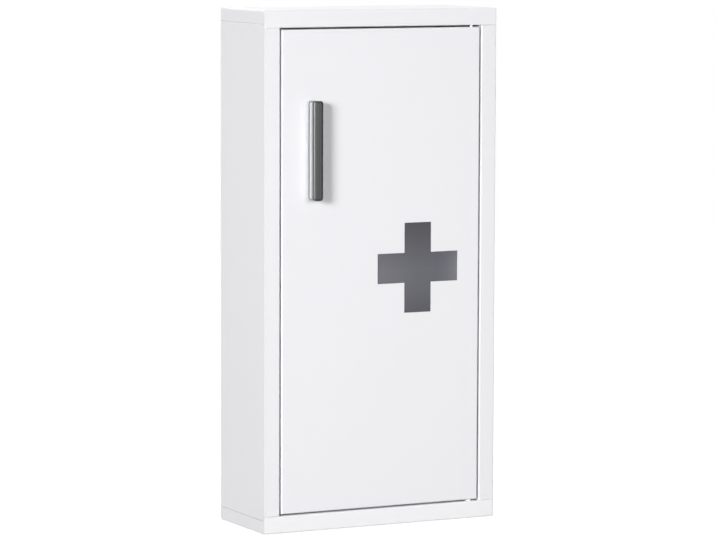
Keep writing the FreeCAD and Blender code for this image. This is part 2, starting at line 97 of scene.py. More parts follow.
def add_node(tree, kind, inputs=None, **settings):
    """A node of one kind, with values for its sockets and links from other nodes' sockets."""
    node = tree.nodes.new(kind)
    for key, value in settings.items():
        setattr(node, key, value)
    for socket, value in (inputs or {}).items():
        if isinstance(value, bpy.types.NodeSocket):
            tree.links.new(value, node.inputs[socket])
        else:
            node.inputs[socket].default_value = value
    return node


def calculate(tree, operation, first, second=0.0, third=0.0):
    """The result of one sum, product or other step of arithmetic on numbers or sockets."""
    node = add_node(tree, "ShaderNodeMath", {0: first, 1: second, 2: third}, operation=operation)
    return node.outputs[0]


def remap(tree, value, low, high, new_low, new_high, smooth=False):
    """A value carried from one range to another and held at its ends."""
    kind = "SMOOTHSTEP" if smooth else "LINEAR"
    node = add_node(tree, "ShaderNodeMapRange", {"Value": value, "From Min": low, "From Max": high,
                                                 "To Min": new_low, "To Max": new_high},
                    interpolation_type=kind)
    return node.outputs["Result"]


def blend_colours(tree, share, first, second, mode="MIX"):
    """Two colours mixed by a share."""
    node = add_node(tree, "ShaderNodeMix", {"Factor": share}, data_type="RGBA", blend_type=mode)
    for socket, value in ((node.inputs[6], first), (node.inputs[7], second)):
        if isinstance(value, bpy.types.NodeSocket):
            tree.links.new(value, socket)
        else:
            socket.default_value = (*value, 1.0)
    return node.outputs[2]


def grey_ramp(tree, value, stops, tint=(1.0, 1.02, 1.025)):
    """A value from nought to one turned into greys of a light tint, with a stop for each step."""
    node = add_node(tree, "ShaderNodeValToRGB", {0: value})
    while len(node.color_ramp.elements) < len(stops):
        node.color_ramp.elements.new(0.5)
    for element, (position, tone) in zip(node.color_ramp.elements, stops):
        element.position = position
        element.color = (tone * tint[0], tone * tint[1], tone * tint[2], 1.0)
    return node.outputs[0]


def noise(tree, place, scale, detail=2.0, roughness=0.5):
    """Soft random values over a piece, finer as the scale grows."""
    node = add_node(tree, "ShaderNodeTexNoise",
                    {"Vector": place, "Scale": scale, "Detail": detail, "Roughness": roughness})
    return node.outputs["Fac"]


def own_place(tree):
    """The piece's own coordinates in metres."""
    return add_node(tree, "ShaderNodeTexCoord").outputs["Object"]


# %% [markdown]
# ## Studio floor, light and background
# The cabinet hangs on a wall, so the floor lies well below it. The background is white because
# the world shows as white to the camera and in mirrors and glass, while it lights the cabinet
# only softly. The floor is a real pale surface with a little glow for the camera, so it looks
# white and still takes the cabinet's shadow.

# %% World
world = bpy.data.worlds.new("studio")
world.use_nodes = True
bpy.context.scene.world = world
sky = world.node_tree
ambient = add_node(sky, "ShaderNodeBackground", {"Color": (0.96, 0.98, 1.0, 1.0), "Strength": 0.04})
white = add_node(sky, "ShaderNodeBackground", {"Color": (1.0, 1.0, 1.0, 1.0), "Strength": 1.0})


def seen_directly(tree):
    """One for camera rays and for rays that gloss or glass passes on, and nought for the rest.

    A ray that has met a matt surface before is left out, so that the white background shows
    in metal and glass but doesn't light the paint through them.
    """
    path = add_node(tree, "ShaderNodeLightPath")
    either = calculate(tree, "MAXIMUM", path.outputs["Is Camera Ray"], path.outputs["Is Glossy Ray"])
    any_way = calculate(tree, "MAXIMUM", either, path.outputs["Is Transmission Ray"])
    before_matt = calculate(tree, "LESS_THAN", path.outputs["Diffuse Depth"], 0.5)
    return calculate(tree, "MULTIPLY", any_way, before_matt)


sky_mix = add_node(sky, "ShaderNodeMixShader", {0: seen_directly(sky), 1: ambient.outputs[0],
                                                2: white.outputs[0]})
sky.links.new(sky_mix.outputs[0], sky.nodes["World Output"].inputs["Surface"])

# %% Floor
floor_level = -1.5
floor_half = 14.0
floor_mesh = bpy.data.meshes.new("studio_floor")
floor_mesh.from_pydata([(-floor_half, -floor_half, floor_level), (floor_half, -floor_half, floor_level),
                        (floor_half, floor_half, floor_level), (-floor_half, floor_half, floor_level)],
                       [], [(0, 1, 2, 3)])
floor = bpy.data.objects.new("studio_floor", floor_mesh)
bpy.context.scene.collection.objects.link(floor)

floor_paint, tree, shader = new_finish("floor_paint")
mottle = noise(tree, own_place(tree), 3.0)
pale = blend_colours(tree, mottle, (0.87, 0.87, 0.87), (0.91, 0.91, 0.91))
tree.links.new(pale, shader.inputs["Base Color"])
shader.inputs["Roughness"].default_value = 0.9
shader.inputs["Specular IOR Level"].default_value = 0.1
distance = add_node(tree, "ShaderNodeVectorMath", {0: own_place(tree)}, operation="LENGTH").outputs["Value"]
glow_strength = remap(tree, distance, 1.8, 4.5, 0.5, 1.0, smooth=True)
glow = add_node(tree, "ShaderNodeEmission",
                {"Strength": calculate(tree, "MULTIPLY", seen_directly(tree), glow_strength)})
floor_sum = add_node(tree, "ShaderNodeAddShader", {0: shader.outputs[0], 1: glow.outputs[0]})
tree.links.new(floor_sum.outputs[0], tree.nodes["Material Output"].inputs["Surface"])
floor_mesh.materials.append(floor_paint)


# %% Softboxes
def softbox(name, azimuth, elevation, distance, size, spread, watts):
    """A square lamp on a sphere round the cabinet, turned to its middle.

    Azimuth counts from straight in front towards the right, and elevation counts upwards. The
    spread is the angle that a grid in front of the lamp lets out, so that it misses the floor.
    """
    across, up = math.radians(azimuth), math.radians(elevation)
    way = Vector((math.sin(across) * math.cos(up), -math.cos(across) * math.cos(up), math.sin(up)))
    lamp_data = bpy.data.lights.new(name, "AREA")
    lamp_data.size = size
    lamp_data.spread = math.radians(spread)
    lamp_data.energy = watts
    lamp = bpy.data.objects.new(name, lamp_data)
    bpy.context.scene.collection.objects.link(lamp)
    lamp.location = Vector((0.0, -0.06, 0.0)) + way * distance
    lamp.rotation_euler = (-way).to_track_quat("-Z", "Y").to_euler()
    lamp.visible_camera = False
    return lamp


softbox("key_lamp", -57.5, 12.5, 6.0, 1.73, 45, 24.5)
softbox("fill_lamp", 16, 12, 6.0, 3.0, 45, 13.8)
softbox("top_lamp", 180, 80, 3.0, 1.2, 120, 13)
softbox("side_lamp", 112, 12, 4.0, 2.0, 45, 11)
softbox("back_lamp", 175, 12, 4.0, 2.0, 45, 8.5)

# %% [markdown]
# ## White powder coat
# Powder coat is melted on in an oven. It flows into a skin with a fine ripple, about a
# millimetre across, and a soft satin gloss. Three noises give it: a very fine one for the
# ripple, a middle one for the gloss and a broad one for a hardly visible change of tint.

# %% Powder coat
def powder_coat(name, light_tint, deep_tint, offset):
    """Satin white powder coat with a fine ripple, at its own place in the noise."""
    finish, tree, shader = new_finish(name)
    place = add_node(tree, "ShaderNodeMapping",
                     {"Vector": own_place(tree), "Location": (offset, offset, offset)}).outputs[0]
    tint = blend_colours(tree, noise(tree, place, 7.0, 3.0), deep_tint, light_tint)
    tree.links.new(tint, shader.inputs["Base Color"])
    gloss = remap(tree, noise(tree, place, 60.0), 0.3, 0.7, 0.38, 0.50)
    tree.links.new(gloss, shader.inputs["Roughness"])
    ripple = noise(tree, place, 850.0, 1.5)
    bump = add_node(tree, "ShaderNodeBump", {"Strength": 0.25, "Distance": 0.00006, "Height": ripple})
    tree.links.new(bump.outputs[0], shader.inputs["Normal"])
    shader.inputs["IOR"].default_value = 1.45
    return finish, tree, shader, bump


shelf_coat, *_ = powder_coat("shelf_coat", (0.879, 0.877, 0.893), (0.861, 0.859, 0.876), 0.8)

# %% [markdown]
# ## Painted shade and light on the coat
# The inside of a folded sheet is painted a shade greyer, as painted shade in the gaps and hollows.
# Every fold is painted darker, a painted shade that holds back the highlight of a rounded fold,
# and the flanks are painted greyer, as painted shade on the sides. All this shows by how far a
# point lies from the outside of its box, which its own coordinates give. The top tray is painted
# a little lighter and the bottom tray lighter still, as painted light from above and from the
# floor below.

# %% Coat on folded sheet
fold_radius = 0.0016


def beyond_faces(tree, low, high):
    """How far a point lies past the side, front and end faces of a box: nought on a face."""
    axes = add_node(tree, "ShaderNodeSeparateXYZ", {0: own_place(tree)}).outputs
    past = []
    for axis, middle, half in (("X", (low[0] + high[0]) / 2, (high[0] - low[0]) / 2),
                               ("Z", (low[2] + high[2]) / 2, (high[2] - low[2]) / 2)):
        off_middle = calculate(tree, "ABSOLUTE", calculate(tree, "SUBTRACT", axes[axis], middle))
        past.append(calculate(tree, "SUBTRACT", off_middle, half))
    side, end = past
    return side, calculate(tree, "SUBTRACT", low[1], axes["Y"]), end


def painted_inside_shade(tree, side, front, end, tone):
    """One on the outside of a folded sheet and the given tone on its inside, as painted shade."""
    outermost = calculate(tree, "MAXIMUM", calculate(tree, "MAXIMUM", side, front), end)
    return remap(tree, outermost, -0.0009, -0.00055, tone, 1.0)


def past_bend(tree, beyond):
    """Nought up to where a fold starts to bend and one from a little way round it."""
    return remap(tree, beyond, -fold_radius, 0.0006 - fold_radius, 0.0, 1.0, smooth=True)


def paint_shade_on_coat(tree, shader, tone):
    """The coat's tint made greyer by a tone of painted shade."""
    tint = shader.inputs["Base Color"].links[0].from_socket
    tree.links.new(blend_colours(tree, 1.0, tint, tone, "MULTIPLY"), shader.inputs["Base Color"])


def shell_coat(name, light_tint, deep_tint, offset, painted_flank_shading):
    """Powder coat with painted shade: greyer on the folds, on the flanks and on the inside."""
    finish, tree, shader, bump = powder_coat(name, light_tint, deep_tint, offset)
    side, front, end = beyond_faces(tree, (-0.150, -0.120, -0.300), (0.150, 0.0, 0.300))
    aside, ahead, upright = (past_bend(tree, beyond) for beyond in (side, front, end))
    upright_fold = calculate(tree, "MULTIPLY", aside, ahead)
    level_fold = calculate(tree, "MULTIPLY", calculate(tree, "MAXIMUM", aside, ahead), upright)
    # Painted shade on the folds: darker on the upright folds and a little darker on the level ones.
    painted_fold_shade = calculate(tree, "MINIMUM", remap(tree, upright_fold, 0.0, 1.0, 1.0, 0.84),
                          remap(tree, level_fold, 0.0, 1.0, 1.0, 0.95))
    # Painted shade on the flanks and on the inside of the sheet.
    painted_face_shade = calculate(tree, "MULTIPLY", remap(tree, aside, 0.0, 1.0, 1.0, painted_flank_shading),
                          painted_inside_shade(tree, side, front, end, 0.92))
    paint_shade_on_coat(tree, shader, calculate(tree, "MULTIPLY", painted_fold_shade, painted_face_shade))
    return finish


door_coat, tree, shader, _ = powder_coat("door_coat", (0.882, 0.879, 0.905), (0.868, 0.865, 0.893), 0.4)
# Painted shade on the inside of the door pan, whose returns show in the gaps.
paint_shade_on_coat(tree, shader, painted_inside_shade(tree, *beyond_faces(tree, *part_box("door_pan")), 0.84))
# Painted light in the tints: the top tray a little lighter and the bottom tray lighter still. The last number is
# the painted flank shade.
side_coat = shell_coat("side_coat", (0.878, 0.877, 0.896), (0.861, 0.860, 0.880), 0.0, 0.935)
top_coat_painted_light = shell_coat("top_coat_painted_light", (0.890, 0.889, 0.907), (0.874, 0.873, 0.892), 1.6, 0.92)
bottom_coat_painted_light = shell_coat("bottom_coat_painted_light", (0.925, 0.924, 0.938), (0.910, 0.909, 0.923), 2.0, 0.885)

# %% [markdown]
# ## The welded back
# The back sheet is spot-welded to the flanges of the shell. Each weld leaves a shallow dimple
# under the paint. The dimples stand in rows along the edges, so they can be worked out from the
# coordinates: the distance to the nearest point of a row gives a round dent by bump.

# %% Powder coat with weld dimples
weld_pitch = 0.075
weld_radius = 0.0032


def row_distance(tree, along, across, line):
    """Distance to the nearest weld of two rows that lie at plus and minus a line."""
    cell = calculate(tree, "FRACT", calculate(tree, "DIVIDE", along, weld_pitch))
    step = calculate(tree, "MULTIPLY", calculate(tree, "SUBTRACT", cell, 0.5), weld_pitch)
    aside = calculate(tree, "SUBTRACT", calculate(tree, "ABSOLUTE", across), line)
    square = calculate(tree, "ADD", calculate(tree, "MULTIPLY", step, step),
                       calculate(tree, "MULTIPLY", aside, aside))
    return calculate(tree, "SQRT", square)


back_coat, tree, shader, ripple_bump = powder_coat("back_coat", (0.886, 0.885, 0.904),
                                                   (0.867, 0.866, 0.886), 1.2)
axes = add_node(tree, "ShaderNodeSeparateXYZ", {0: own_place(tree)}).outputs
side_rows = row_distance(tree, axes["Z"], axes["X"], 0.143)
end_rows = row_distance(tree, axes["X"], axes["Z"], 0.2925)
nearest = calculate(tree, "MINIMUM", side_rows, end_rows)
dent = remap(tree, nearest, weld_radius * 0.55, weld_radius, 0.0, 1.0, smooth=True)
dent_bump = add_node(tree, "ShaderNodeBump", {"Strength": 0.6, "Distance": 0.0004, "Height": dent,
                                              "Normal": ripple_bump.outputs[0]})
tree.links.new(dent_bump.outputs[0], shader.inputs["Normal"])

# %% [markdown]
# ## Bare metals
# Zinc plate on clips, clamps and screws has a faint cloudy crystal pattern and small changes of
# gloss. The ground pivot pins show fine rings round their axis, which a wave along Z gives.

# %% Zinc plate and ground steel
def zinc_plate(name):
    """Bright zinc: cloudy patches of two greys, with a gloss that follows the clouds."""
    finish, tree, shader = new_finish(name)
    place = own_place(tree)
    cells = add_node(tree, "ShaderNodeTexVoronoi", {"Vector": place, "Scale": 420.0}).outputs["Color"]
    cloud = noise(tree, place, 160.0, 3.0)
    patch = calculate(tree, "MULTIPLY", cloud, add_node(tree, "ShaderNodeRGBToBW", {0: cells}).outputs[0])
    share = remap(tree, patch, 0.05, 0.5, 0.0, 1.0)
    tree.links.new(blend_colours(tree, share, (0.50, 0.51, 0.52), (0.66, 0.67, 0.68)),
                   shader.inputs["Base Color"])
    tree.links.new(remap(tree, share, 0.0, 1.0, 0.42, 0.28), shader.inputs["Roughness"])
    shader.inputs["Metallic"].default_value = 1.0
    return finish


def ground_steel(name):
    """Ground steel: fine rings round the vertical axis."""
    finish, tree, shader = new_finish(name)
    place = own_place(tree)
    rings = add_node(tree, "ShaderNodeTexWave",
                     {"Vector": place, "Scale": 1500.0, "Distortion": 1.5, "Detail": 2.0},
                     wave_type="BANDS", bands_direction="Z").outputs["Fac"]
    tree.links.new(blend_colours(tree, rings, (0.60, 0.60, 0.61), (0.72, 0.72, 0.73)),
                   shader.inputs["Base Color"])
    tree.links.new(remap(tree, rings, 0.0, 1.0, 0.34, 0.22), shader.inputs["Roughness"])
    bump = add_node(tree, "ShaderNodeBump", {"Strength": 0.2, "Distance": 0.00002, "Height": rings})
    tree.links.new(bump.outputs[0], shader.inputs["Normal"])
    shader.inputs["Metallic"].default_value = 1.0
    return finish


zinc_finish = zinc_plate("zinc_plate")
pin_finish = ground_steel("ground_steel")

# %% [markdown]
# ## Plastics, ferrite and rubber
# The small moulded parts differ mostly in tint and in how rough their skin is, so one helper
# serves for all: two near tints mixed by noise, a roughness and the height of a grain.

# %% Moulded finishes
def moulded(name, light_tint, deep_tint, roughness, grain_scale, grain_height):
    """A moulded or pressed surface: two near tints and a fine grain."""
    finish, tree, shader = new_finish(name)
    place = own_place(tree)
    grain = noise(tree, place, grain_scale, 3.0)
    tree.links.new(blend_colours(tree, grain, deep_tint, light_tint), shader.inputs["Base Color"])
    tree.links.new(remap(tree, grain, 0.3, 0.7, roughness - 0.05, roughness + 0.05),
                   shader.inputs["Roughness"])
    bump = add_node(tree, "ShaderNodeBump", {"Strength": 0.4, "Distance": grain_height, "Height": grain})
    tree.links.new(bump.outputs[0], shader.inputs["Normal"])
    return finish


nylon_finish = moulded("natural_nylon", (0.86, 0.86, 0.83), (0.80, 0.80, 0.77), 0.50, 500.0, 0.00004)
catch_finish = moulded("catch_plastic", (0.87, 0.87, 0.87), (0.83, 0.83, 0.83), 0.45, 700.0, 0.00005)
ferrite_finish = moulded("ferrite", (0.13, 0.13, 0.14), (0.07, 0.07, 0.08), 0.65, 900.0, 0.00008)
rubber_finish = moulded("bumper_rubber", (0.74, 0.74, 0.73), (0.66, 0.66, 0.65), 0.75, 800.0, 0.00005)

# %% [markdown]
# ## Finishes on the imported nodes
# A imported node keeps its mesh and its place. It only gets a better material in its slot.

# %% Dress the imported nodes
node_finishes = {
    side_coat: ("side_panel_left", "side_panel_right"),
    top_coat_painted_light: ("top_cap",),
    bottom_coat_painted_light: ("bottom_cap",),
    back_coat: ("back_panel",),
    door_coat: ("door_pan",),
    shelf_coat: ("shelf_standard_left_front", "shelf_standard_left_rear",
                 "shelf_standard_right_front", "shelf_standard_right_rear",
                 "upper_shelf", "lower_shelf"),
    zinc_finish: ("upper_shelf_clips", "lower_shelf_clips", "catch_pole_plates",
                  "upper_hinge_bracket", "lower_hinge_bracket"),
    pin_finish: ("upper_hinge_pin", "lower_hinge_pin"),
    nylon_finish: ("upper_hinge_bush", "lower_hinge_bush"),
    catch_finish: ("catch_housing",),
    ferrite_finish: ("catch_magnet",),
}
for finish, names in node_finishes.items():
    for name in names:
        for slot in nodes[name].material_slots:
            slot.material = finish
print("dressed nodes:", sum(len(names) for names in node_finishes.values()))

# %% [markdown]
# ## Closed forms from an outline and a profile
# The handle, the glass and the rubber buffers are all a rounded outline that shrinks towards
# its middle while it moves in depth. So one surface serves for them: ring by ring, the outline
# is drawn at an inset, and each ring lies at its own depth. The first and last rings close on
# the middle line.

# %% Rings along an outline
def rounded_outline(half_x, half_z, corner, inset, per_corner=8, per_side=6):
    """Points round a rectangle with rounded corners, drawn at an inset from its edge.

    In words: each corner point is the corner's centre plus the radius that the inset leaves,
    times the cosine and sine of an angle that turns by 90 degrees. The sides between two
    corners are straight, divided evenly.
    """
    centre_x = half_x - max(corner, inset)
    centre_z = half_z - max(corner, inset)
    radius = max(corner - inset, 0.001)
    arcs = []
    for quarter, (sign_x, sign_z) in enumerate(((1, 1), (-1, 1), (-1, -1), (1, -1))):
        angle = np.linspace(0, math.pi / 2, per_corner) + quarter * math.pi / 2
        arcs.append(np.stack([sign_x * centre_x + radius * np.cos(angle),
                              sign_z * centre_z + radius * np.sin(angle)], axis=-1))
    parts = []
    for arc, following in zip(arcs, arcs[1:] + arcs[:1]):
        share = np.linspace(0, 1, per_side + 2)[1:-1, None]
        parts += [arc, arc[-1] * (1 - share) + following[0] * share]
    return np.concatenate(parts)


def ring_faces(ring_count, per_ring):
    """Quads between neighbouring rings, each ring closed on itself, as one whole array."""
    first = np.arange(ring_count - 1)[:, None] * per_ring
    here = np.arange(per_ring)[None, :]
    after = (here + 1) % per_ring
    quads = np.stack([first + here, first + after, first + per_ring + after, first + per_ring + here], axis=-1)
    return quads.reshape(-1, 4)


def make_piece(name, points, faces, sharp_angle=40):
    """A mesh object from points in millimetres: doubles merged, faces outwards, smooth."""
    mesh = bpy.data.meshes.new(name)
    mesh.from_pydata((np.asarray(points) * MM).tolist(), [], np.asarray(faces).tolist())
    form = bmesh.new()
    form.from_mesh(mesh)
    bmesh.ops.remove_doubles(form, verts=form.verts, dist=3e-6)
    bmesh.ops.dissolve_degenerate(form, edges=form.edges, dist=1e-7)
    bmesh.ops.recalc_face_normals(form, faces=form.faces)
    form.to_mesh(mesh)
    form.free()
    mesh.shade_smooth()
    mesh.set_sharp_from_angle(angle=math.radians(sharp_angle))
    piece = bpy.data.objects.new(name, mesh)
    bpy.context.scene.collection.objects.link(piece)
    print(name, "faces:", len(mesh.polygons))
    return piece


def finish_piece(piece, finish, body, slot, *replaced):
    """Give a piece its material and its body, and hide the nodes that it stands for. The slot is not used."""
    piece.data.materials.append(finish)
    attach(piece, body)
    for node in replaced:
        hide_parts(node)


def node_box(name):
    """Lowest corner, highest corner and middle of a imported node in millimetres."""
    low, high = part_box(name)
    low, high = np.array(low) / MM, np.array(high) / MM
    return low, high, (low + high) / 2


# %% [markdown]
# ## The handle
# The handle is a solid bar with a gently crowned front. Its colour holds painted reflections: the
# flanks are painted bright where they would mirror the white door, the front is painted dark where
# it would mirror a dark studio, and a painted highlight runs along the edge between them. The
# flank is painted darker at the door, and the ends and the far side are painted darker too, as
# painted shade. The bar is made from rings: up the flank, round a small edge radius and then
# over the crown to the middle line.

# %% Handle surface
def crowned_bar(low, high, corner, edge, crown):
    """Rings of a bar with a crowned front, in millimetres.

    In words: the flank rises straight to the edge, the edge is a quarter circle, and the front
    stands higher by the crown times one minus the square of the distance from the middle line.
    """
    half_x, half_z = (high[0] - low[0]) / 2, (high[2] - low[2]) / 2
    shoulder = high[1] - low[1] - crown
    turn = np.linspace(0, math.pi / 2, 8)
    insets = np.concatenate([[half_x, 0.4, 0.1, 0, 0, 0], edge * (1 - np.cos(turn)),
                             np.linspace(edge, half_x, 7)[1:]])
    depths = np.concatenate([[0, 0, 0.1, 0.4, shoulder * 0.33, shoulder * 0.66],
                             shoulder - edge + edge * np.sin(turn), np.full(6, shoulder)])
    rings = np.stack([rounded_outline(half_x, half_z, corner, inset) for inset in insets])
    lift = np.clip(depths / shoulder, 0, 1)[:, None] ** 4 * crown * (1 - (rings[..., 0] / half_x) ** 2)
    x = rings[..., 0] + (low[0] + high[0]) / 2
    y = high[1] - depths[:, None] - lift
    z = rings[..., 1] + (low[2] + high[2]) / 2
    return np.stack([x, y, z], axis=-1)


handle_low, handle_high, handle_middle = node_box("door_handle")
bar_crown = 1.2
bar_rings = crowned_bar(handle_low, handle_high, 3.5, 1.1, bar_crown)
handle_bar = make_piece("handle_bar", bar_rings.reshape(-1, 3), ring_faces(*bar_rings.shape[:2]))

# %% Handle metal with painted reflections and shade
handle_metal, tree, shader = new_finish("handle_metal")
place = own_place(tree)
centred = add_node(tree, "ShaderNodeMapping",
                   {"Vector": place, "Location": tuple(-handle_middle * MM)}).outputs[0]
axes = add_node(tree, "ShaderNodeSeparateXYZ", {0: centred}).outputs
half_bar = (handle_high - handle_low) / 2 * MM
beyond_x = calculate(tree, "SUBTRACT", calculate(tree, "ABSOLUTE", axes["X"]), half_bar[0])
beyond_z = calculate(tree, "SUBTRACT", calculate(tree, "ABSOLUTE", axes["Z"]), half_bar[2])
outward = calculate(tree, "MAXIMUM", beyond_x, beyond_z)
forward = calculate(tree, "SUBTRACT", calculate(tree, "MULTIPLY", axes["Y"], -1.0), half_bar[1] - bar_crown * MM)
front_share = remap(tree, calculate(tree, "SUBTRACT", forward, outward), -0.0004, 0.0007, 0.0, 1.0, smooth=True)
# Painted reflection on the front: dark streaks across it, with a painted highlight at its left edge.
front_painted_reflection = grey_ramp(tree, remap(tree, axes["X"], -0.006, 0.006, 0.0, 1.0),
                       ((0.0, 0.21), (0.10, 0.14), (0.20, 0.078), (0.30, 0.042), (0.41, 0.048), (0.52, 0.041),
                        (0.64, 0.080), (0.76, 0.072), (0.87, 0.036), (1.0, 0.030)))
# Painted reflection on the flank: bright where it would mirror the white door, with a painted shade at the door
# and a painted highlight at the front edge.
painted_flank_shading = grey_ramp(tree, remap(tree, axes["Y"], 0.0075, -0.0075, 0.0, 1.0),
                       ((0.0, 0.03), (0.07, 0.10), (0.17, 0.72), (0.33, 0.98), (0.50, 0.68), (0.66, 0.30),
                        (0.80, 0.11), (0.90, 0.13), (1.0, 0.20)))
bar_colour_with_painted_light = blend_colours(tree, front_share, painted_flank_shading, front_painted_reflection)
# Painted shade: the ends and the far side of the bar are darker.
end_shade = remap(tree, calculate(tree, "ABSOLUTE", axes["Z"]), 0.0540, 0.0560, 1.0, 0.45)
far_shade = remap(tree, axes["X"], 0.0050, 0.0058, 1.0, 0.30)
bar_colour_with_painted_light = blend_colours(tree, 1.0, bar_colour_with_painted_light, calculate(tree, "MULTIPLY", end_shade, far_shade), "MULTIPLY")
tree.links.new(bar_colour_with_painted_light, shader.inputs["Base Color"])
shader.inputs["Metallic"].default_value = 1.0
brush = noise(tree, add_node(tree, "ShaderNodeMapping", {"Vector": place, "Scale": (1.0, 1.0, 0.03)}).outputs[0],
              3500.0, 3.0)
tree.links.new(remap(tree, brush, 0.3, 0.7, 0.26, 0.38), shader.inputs["Roughness"])
bump = add_node(tree, "ShaderNodeBump", {"Strength": 0.15, "Distance": 0.00002, "Height": brush})
tree.links.new(bump.outputs[0], shader.inputs["Normal"])
finish_piece(handle_bar, handle_metal, "door", "handle_metal", "door_handle")

# %% [markdown]
# ## The frosted glass
# The pane is a flat square plate with ground edges, clamped behind the cross opening. Frosted
# glass scatters light, so it looks grey and soft. Its colour holds painted shade and light: it is
# painted darker above and below for the dark inside of the cabinet, and lighter towards the ends
# of the side arms, most on the right arm, for the light that reaches it from the right.

# %% Glass plate
def edged_plate(low, high, corner, bevel):
    """Rings of a flat plate with a small bevel round both faces, in millimetres.

    In words: from the middle of the rear face out to its bevel, across the edge, and over the
    front face back to the middle, with the outline shrunk by the inset each time.
    """
    half_x, half_z = (high[0] - low[0]) / 2, (high[2] - low[2]) / 2
    thick = high[1] - low[1]
    insets = np.array([half_x, bevel, 0, 0, bevel, half_x])
    depths = np.array([0, 0, bevel, thick - bevel, thick, thick])
    rings = np.stack([rounded_outline(half_x, half_z, corner, inset) for inset in insets])
    x = rings[..., 0] + (low[0] + high[0]) / 2
    y = np.broadcast_to(high[1] - depths[:, None], x.shape)
    z = rings[..., 1] + (low[2] + high[2]) / 2
    return np.stack([x, y, z], axis=-1)


pane_low, pane_high, pane_middle = node_box("cross_pane")
pane_rings = edged_plate(pane_low, pane_high, 5.0, 0.5)
cross_glass = make_piece("cross_glass", pane_rings.reshape(-1, 3), ring_faces(*pane_rings.shape[:2]), 20)

# %% Frosted grey glass
frosted_glass, tree, shader = new_finish("frosted_glass")
place = own_place(tree)
centred = add_node(tree, "ShaderNodeMapping",
                   {"Vector": place, "Location": tuple(-pane_middle * MM)}).outputs[0]
axes = add_node(tree, "ShaderNodeSeparateXYZ", {0: centred}).outputs
across = calculate(tree, "DIVIDE", axes["X"], 0.0525)
upward = calculate(tree, "DIVIDE", axes["Z"], 0.0525)
# Painted light across the pane: lighter towards both side ends, most on the right.
across_light = add_node(tree, "ShaderNodeValToRGB", {0: remap(tree, across, -1.0, 1.0, 0.0, 1.0)})
ramp = across_light.color_ramp
ramp.elements[0].position, ramp.elements[0].color = 0.0, (0.181, 0.181, 0.208, 1)
ramp.elements[1].position, ramp.elements[1].color = 1.0, (0.214, 0.220, 0.254, 1)
for position, tint in ((0.5, (0.125, 0.125, 0.153)), (0.75, (0.120, 0.123, 0.150)), (0.87, (0.147, 0.151, 0.178))):
    ramp.elements.new(position).color = (*tint, 1)
# Painted shade up and down the pane: darker above and below the middle.
upright_shade = grey_ramp(tree, remap(tree, upward, -1.0, 1.0, 0.0, 1.0),
                          ((0.0, 0.60), (0.25, 0.92), (0.40, 1.0), (0.48, 1.0), (0.64, 0.785), (0.84, 0.535),
                           (1.0, 0.375)), (1.0, 1.0, 0.99))
glass_painted_shading = blend_colours(tree, 1.0, across_light.outputs[0], upright_shade, "MULTIPLY")
tree.links.new(glass_painted_shading, shader.inputs["Base Color"])
frost = noise(tree, place, 2600.0, 2.0)
tree.links.new(remap(tree, frost, 0.3, 0.7, 0.42, 0.55), shader.inputs["Roughness"])
bump = add_node(tree, "ShaderNodeBump", {"Strength": 0.3, "Distance": 0.00003, "Height": frost})
tree.links.new(bump.outputs[0], shader.inputs["Normal"])
shader.inputs["Transmission Weight"].default_value = 0.25
shader.inputs["IOR"].default_value = 1.5
finish_piece(cross_glass, frosted_glass, "door", "frosted_glass", "cross_pane")

# %% [markdown]
# ## Screws
# The handle screws and the catch screws have rounded heads with a cross recess. A head is a
# surface of revolution whose height is a flattened dome, and the recess is a dent in the shape
# of a plus that fades out at its rim. The shank is a plain cylinder, hidden in its hole.

# %% Screw surface
def recessed_screw(tip, seat, shank_radius, head_radius, head_height, segments=64):
    """Rings of a screw along Y, in millimetres, from its tip to the middle of its head.

    In words: the radius and depth follow the shank, the underside and the dome, a quarter
    ellipse flattened on top. The dent is the recess depth where a point is within a half slot
    width of either axis and inside the slot length, with a steep but smooth wall.
    """
    turn = np.linspace(0, math.pi / 2, 10)
    flat = head_radius * 0.62
    radii = np.concatenate([[0, shank_radius * 0.7, shank_radius, shank_radius, head_radius],
                            flat + (head_radius - flat) * np.cos(turn),
                            np.linspace(flat, 0, 22)[1:]])
    rise = head_height * (0.35 + 0.65 * np.sin(turn))
    depths = np.concatenate([[tip[1], tip[1], tip[1] + 0.4, seat, seat], seat + rise,
                             np.full(21, seat + head_height)])
    angle = np.linspace(0, 2 * math.pi, segments, endpoint=False)
    x = radii[:, None] * np.cos(angle)
    z = radii[:, None] * np.sin(angle)
    half_slot, slot_reach = head_radius * 0.13, head_radius * 0.56
    near_axis = np.minimum(np.abs(x), np.abs(z))
    reach = np.maximum(np.abs(x), np.abs(z))
    wall = 1 / (1 + np.exp((near_axis - half_slot) / (0.09 * half_slot)))
    end = 1 / (1 + np.exp((reach - slot_reach) / (0.06 * slot_reach)))
    on_top = (depths > seat + head_height * 0.5)[:, None]
    y = depths[:, None] - on_top * wall * end * head_height * 0.6
    return np.stack([x + tip[0], y, z + tip[2]], axis=-1)


def screw_set(name, places, seat, shank_radius, head_radius, head_height):
    """Several screws of one size in one piece."""
    points, faces = [], []
    for tip in places:
        rings = recessed_screw(tip, seat, shank_radius, head_radius, head_height)
        faces.append(ring_faces(*rings.shape[:2]) + sum(map(len, points)))
        points.append(rings.reshape(-1, 3))
    return make_piece(name, np.concatenate(points), np.concatenate(faces), 50)


